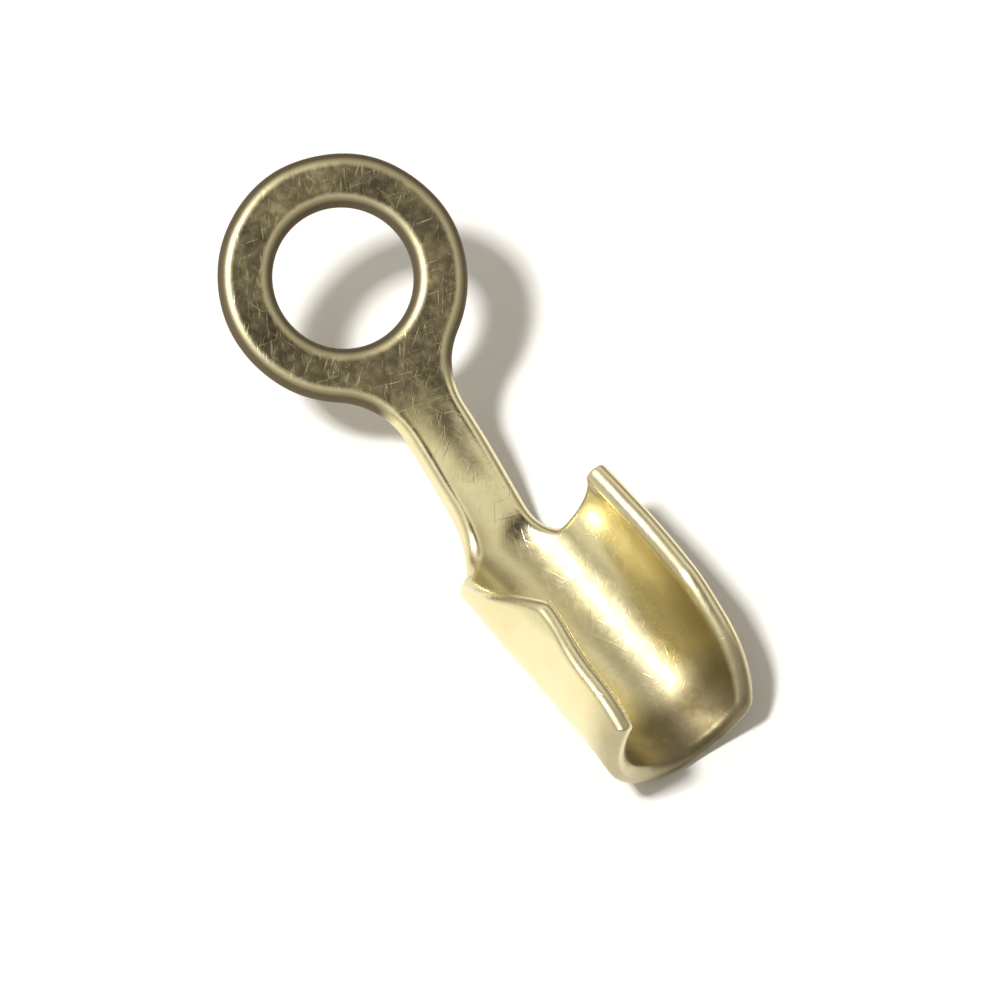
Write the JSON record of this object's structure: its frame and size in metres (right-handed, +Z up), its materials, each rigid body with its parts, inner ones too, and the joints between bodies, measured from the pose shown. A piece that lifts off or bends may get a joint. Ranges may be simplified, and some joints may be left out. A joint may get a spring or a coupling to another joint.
{
  "type": "fold-over cord end",
  "caption": "One stamping of thin gold-tone sheet: two curled flaps that are pinched over a cord, and a raised neck that ends in a flat ring for a jump ring.",
  "frame": {"origin": "middle of the part's box in X and Y, on the surface that it rests on", "axes": "+X from the ring to the channel's open end, along the cord; +Z up, out of the channel's mouth"},
  "size_m": [0.0088, 0.0032, 0.003],
  "materials": {
    "gold_plate": "bright pale gold plating, lightly tumbled"
  },
  "bodies": {
    "root": {"cord_end": "gold_plate"}
  },
  "joints": []
}
